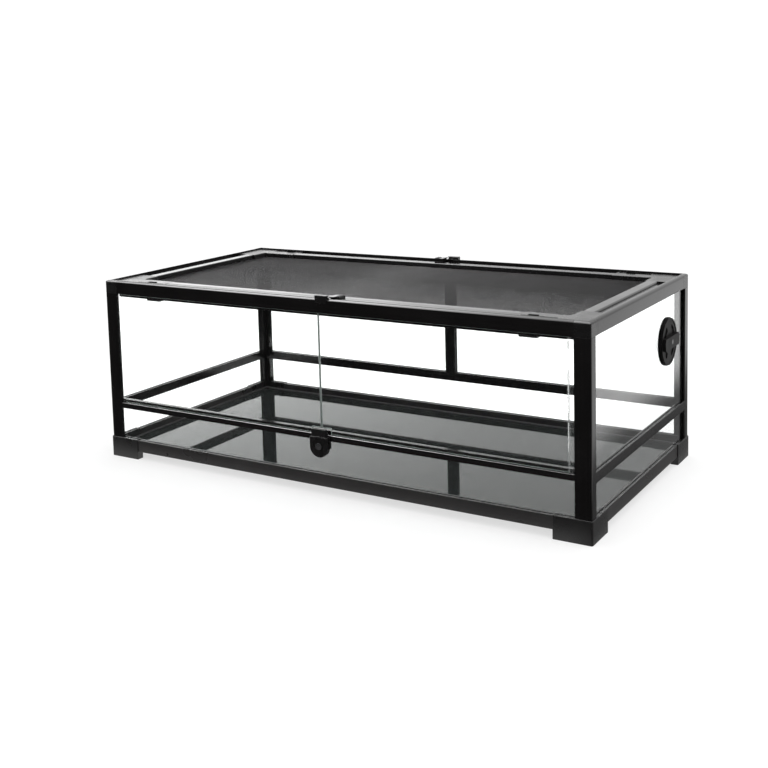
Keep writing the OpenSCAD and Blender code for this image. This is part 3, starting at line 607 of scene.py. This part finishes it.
# ---- Floor pane ------------------------------------------------------------------------
# A sheet of black glass lies on the bottom rails' flange. It shows little but what it mirrors,
# through a faint haze.
FLOOR_BLACK = (0.02, 0.0225, 0.022, 1)
FLOOR_HAZE = (0.024, 0.027, 0.0262, 1)
FLOOR_ROUGH = (0.02, 0.035)
HAZE_SCALE = 3.5
HAZE_SPAN = (0.3, 0.8)
FLOOR_EDGE = 0.0005


def black_glass():
    """Black glass with slow clouds of haze in its colour and its gloss."""
    material, nodes, links = new_material("black_glass")
    where = nodes.new("ShaderNodeTexCoord")
    haze = noise_node(nodes, links, where.outputs["Object"], HAZE_SCALE, detail=4, rough=0.6)
    sheet = nodes.new("ShaderNodeBsdfPrincipled")
    links.new(colour_mix(nodes, links, haze, FLOOR_BLACK, FLOOR_HAZE), sheet.inputs["Base Color"])
    links.new(map_range(nodes, links, haze, HAZE_SPAN, FLOOR_ROUGH), sheet.inputs["Roughness"])
    sheet.inputs["IOR"].default_value = GLASS_IOR
    end_with(nodes, links, sheet)
    return material


finished("floor_glass", "frame", black_glass(), FLOOR_EDGE)

# ---- Silicone and cord -----------------------------------------------------------------
# A tooled bead of dull black silicone seals the floor pane, and is painted grey beside the frame as reflected
# light. A soft black cord is pressed in round the screen, and holds it in the lid's step.
RUBBER_BLACK = (0.012, 0.012, 0.012, 1)
RUBBER_GREY = (0.02, 0.02, 0.02, 1)
RUBBER_ROUGH = 0.55
CORD_EDGE = 0.0004
# The sealant's grey is painted reflected light over dull black silicone.
SEALANT_PAINTED_SHEEN_BLACK = (0.07, 0.069, 0.07, 1)
SEALANT_PAINTED_SHEEN_GREY = (0.085, 0.084, 0.085, 1)
SEALANT_ROUGH = 0.5
SEAL_EDGE = 0.001

rubber_values = {"Deep": RUBBER_BLACK, "Pale": RUBBER_GREY, "Rough": RUBBER_ROUGH,
                 "Grain": SILICONE_SCALE}
rubber = coat_material("black_silicone", moulded_grain, rubber_values, bump=0.08)
sealant_sheen_values = {"Deep": SEALANT_PAINTED_SHEEN_BLACK, "Pale": SEALANT_PAINTED_SHEEN_GREY, "Rough": SEALANT_ROUGH,
                  "Grain": SILICONE_SCALE}
sealant_with_sheen = coat_material("floor_sealant_painted_sheen", moulded_grain, sealant_sheen_values, bump=0.05)
finished("floor_seal", "frame", sealant_with_sheen, SEAL_EDGE, segments=3)
finished("lid_spline", "lid", rubber, CORD_EDGE)

# ---- Door hinges and lock --------------------------------------------------------------
# Each door turns in a clear extruded strip pushed on its edge, with a pin at each end. The
# lock is a moulded cover screwed to the sill, over a bolt with a thumb tab.
STRIP_EDGE = 0.0003
LOCK_EDGE = 0.0003
COVER_EDGE = 0.0006
STEEL_BLACK = (0.03, 0.03, 0.032, 1)
STEEL_GREY = (0.05, 0.05, 0.052, 1)
STEEL_ROUGH = 0.3
SCREW_EDGE = 0.0002

for door_name in ("left_door", "right_door"):
    finished(door_name + "_hinge_strip", door_name, strip_clear, STRIP_EDGE)
finished("lock_base", "frame", moulded, LOCK_EDGE)
finished("lock_cover", "frame", moulded, COVER_EDGE)
finished("lock_bolt", "lock_bolt", moulded, LOCK_EDGE)
steel_values = {"Deep": STEEL_BLACK, "Pale": STEEL_GREY, "Rough": STEEL_ROUGH}
blackened = coat_material("blackened_steel", extruded_coat, steel_values, bump=0.2)
finished("lock_screw", "frame", blackened, SCREW_EDGE)

# ---- Lid -------------------------------------------------------------------------------
# Four extruded border rails are joined by moulded corners, in which a matt gate slides over
# each cable inlet. Two smooth moulded sliders on the long rails lock it under the keepers.
LID_BLACK = (0.007, 0.0066, 0.0066, 1)
LID_GREY = (0.011, 0.0105, 0.0107, 1)
LID_ROUGH = 0.2
LID_EDGE = 0.0003
SLIDER_ROUGH = 0.14
GATE_BLACK = (0.006, 0.006, 0.006, 1)
GATE_GREY = (0.01, 0.01, 0.01, 1)
GATE_ROUGH = 0.8

lid_values = {"Deep": LID_BLACK, "Pale": LID_GREY, "Rough": LID_ROUGH}
lid_coats = profile_coats("lid_profile", "xy", lid_values, bump=0.03)
for side_name, axis_name in (("front", "x"), ("back", "x"), ("left", "y"), ("right", "y")):
    finished("lid_rail_" + side_name, "lid", lid_coats[axis_name], LID_EDGE)
finished("lid_corners_front", "lid", moulded, LID_EDGE)
finished("lid_corners_back", "lid", moulded, LID_EDGE)
smooth_black = coat_material("smooth_black", moulded_grain, {"Rough": SLIDER_ROUGH}, bump=0.05)
for slider_name in ("lid_slider_front", "lid_slider_back"):
    finished(slider_name, slider_name, smooth_black, LID_EDGE)
gate_values = {"Deep": GATE_BLACK, "Pale": GATE_GREY, "Rough": GATE_ROUGH}
gate_black = coat_material("gate_black", moulded_grain, gate_values, bump=0.2, specular=0.02)
for corner_name in CORNERS:
    gate_name = "inlet_gate_" + corner_name
    finished(gate_name, gate_name, gate_black, LID_EDGE)

# ---- Screen ----------------------------------------------------------------------------
# The lid's screen is fine black wire, held in the border rails' step by the cord. Its wires
# are made here as straight six-sided rods in two layers that cross, and aren't woven.
WIRE_RADIUS = 0.00018
WIRE_SIDES = 6
WIRE_PITCH = 0.0018
WIRE_REACH = 0.0011
SCREEN_BLACK = (0.023, 0.022, 0.023, 1)
SCREEN_GREY = (0.038, 0.036, 0.038, 1)
SCREEN_ROUGH = 0.42
SCREEN_SCALE = 300


def wires(name, length, span, turn_z, height):
    """A layer of parallel wires, made by copying one wire across the lid."""
    count = int(span // WIRE_PITCH) + 1
    bpy.ops.mesh.primitive_cylinder_add(vertices=WIRE_SIDES, radius=WIRE_RADIUS, depth=length,
                                        location=(0, 0, 0), rotation=(0, math.pi / 2, 0))
    layer = bpy.context.object
    layer.name = name
    bpy.ops.object.transform_apply(location=True, rotation=True, scale=True)
    bpy.ops.object.mode_set(mode="EDIT")
    bpy.ops.mesh.select_all(action="SELECT")
    bpy.ops.transform.translate(value=(0, -(count - 1) * WIRE_PITCH / 2, 0))
    bpy.ops.object.mode_set(mode="OBJECT")
    row = layer.modifiers.new("row", "ARRAY")
    row.count = count
    row.use_relative_offset = False
    row.use_constant_offset = True
    row.constant_offset_displace = (0, WIRE_PITCH, 0)
    bpy.ops.object.modifier_apply(modifier=row.name)
    layer.rotation_euler = (0, 0, turn_z)
    layer.location = (0, 0, height)
    bpy.ops.object.transform_apply(location=True, rotation=True, scale=True)
    return layer


screen_low, screen_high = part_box("lid_mesh")
screen_mid = (screen_low.z + screen_high.z) / 2
half_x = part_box("lid_rail_right")[0].x + WIRE_REACH
half_y = WIRE_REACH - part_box("lid_rail_front")[1].y
weft = wires("screen_weft", 2 * half_x, 2 * half_y, 0, screen_mid + WIRE_RADIUS)
warp = wires("screen_warp", 2 * half_y, 2 * half_x, math.pi / 2, screen_mid - WIRE_RADIUS)
alone(weft)
warp.select_set(True)
bpy.ops.object.join()
screen = bpy.context.object
screen.name = "wire_screen"
bpy.ops.object.shade_smooth()
wire_values = {"Deep": SCREEN_BLACK, "Pale": SCREEN_GREY, "Rough": SCREEN_ROUGH, "Grain": SCREEN_SCALE}
wire_black = coat_material("screen_wire", moulded_grain, wire_values, bump=0.1, specular=0.4)
stand_for(screen, "lid_mesh", "lid", wire_black)

# ---- Vent ------------------------------------------------------------------------------
# A round moulded vent is clamped in a hole of the right end pane by two flanges. Its slotted
# shutter turns on a blackened rivet.
VENT_ROUGH = 0.4
OUTER_EDGE = 0.0003
INNER_EDGE = 0.0006
SHUTTER_EDGE = 0.0004
RIVET_EDGE = 0.0003

vent_black = coat_material("vent_black", moulded_grain, {"Rough": VENT_ROUGH}, bump=0.2, specular=0.05)
finished("vent_outer_flange", "frame", vent_black, OUTER_EDGE)
finished("vent_inner_flange", "frame", moulded, INNER_EDGE)
finished("vent_shutter", "vent_shutter", vent_black, SHUTTER_EDGE)
finished("vent_pivot", "frame", blackened, RIVET_EDGE)
